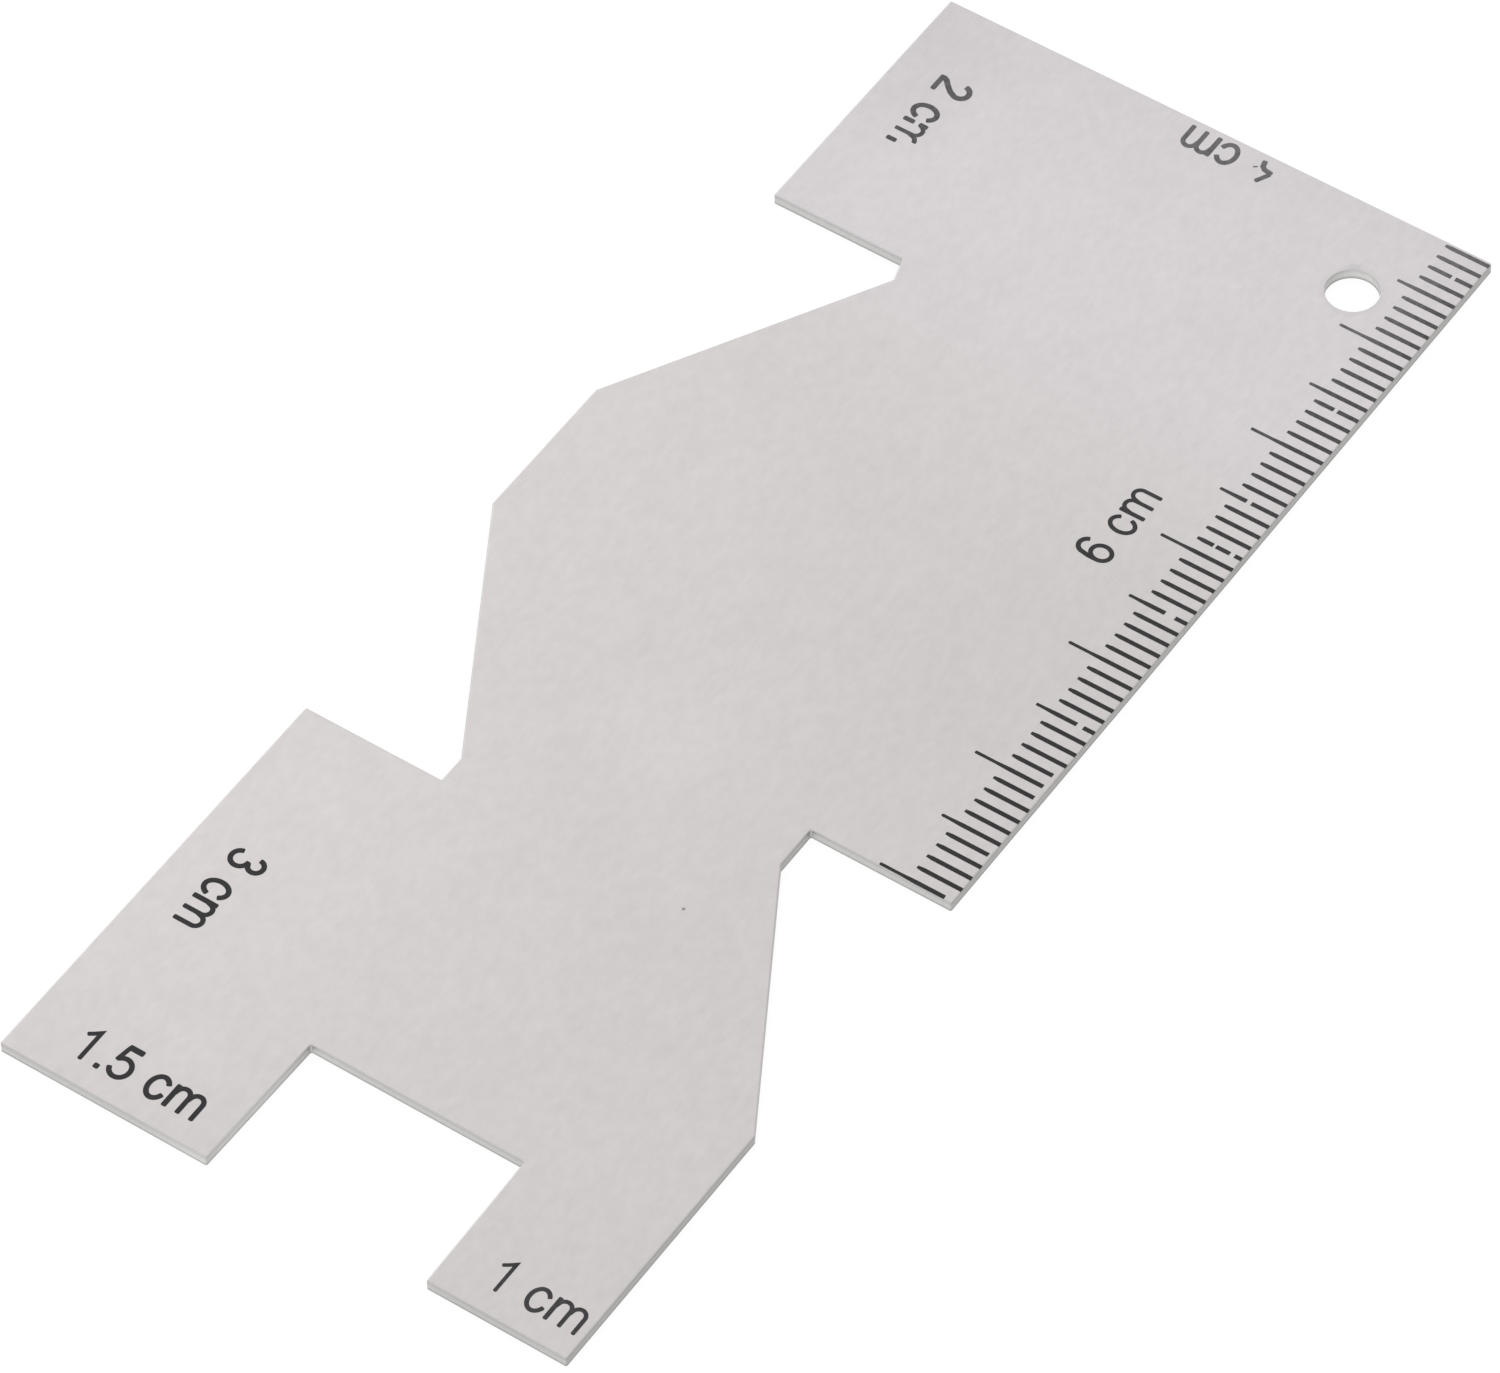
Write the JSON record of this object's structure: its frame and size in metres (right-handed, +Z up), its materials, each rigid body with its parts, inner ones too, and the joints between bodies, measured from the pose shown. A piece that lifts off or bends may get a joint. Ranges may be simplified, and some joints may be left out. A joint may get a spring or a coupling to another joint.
{
  "type": "sewing gauge",
  "caption": "Flat aluminium sewing gauge whose edges are cut to marked lengths, with slant-sided notches, a square notch between its legs, a millimetre scale and a hanging hole.",
  "frame": {"origin": "centre of the bounding box, on the underside", "axes": "+Y along the plate towards the head with the hanging hole, +Z up out of the printed face, +X across towards the edge with the millimetre scale"},
  "size_m": [0.04, 0.099, 0.0008],
  "materials": {
    "aluminium_sheet": "satin, as rolled",
    "printing_ink": "printed, slightly worn"
  },
  "bodies": {
    "root": {"gauge_plate": "aluminium_sheet"}
  },
  "joints": []
}
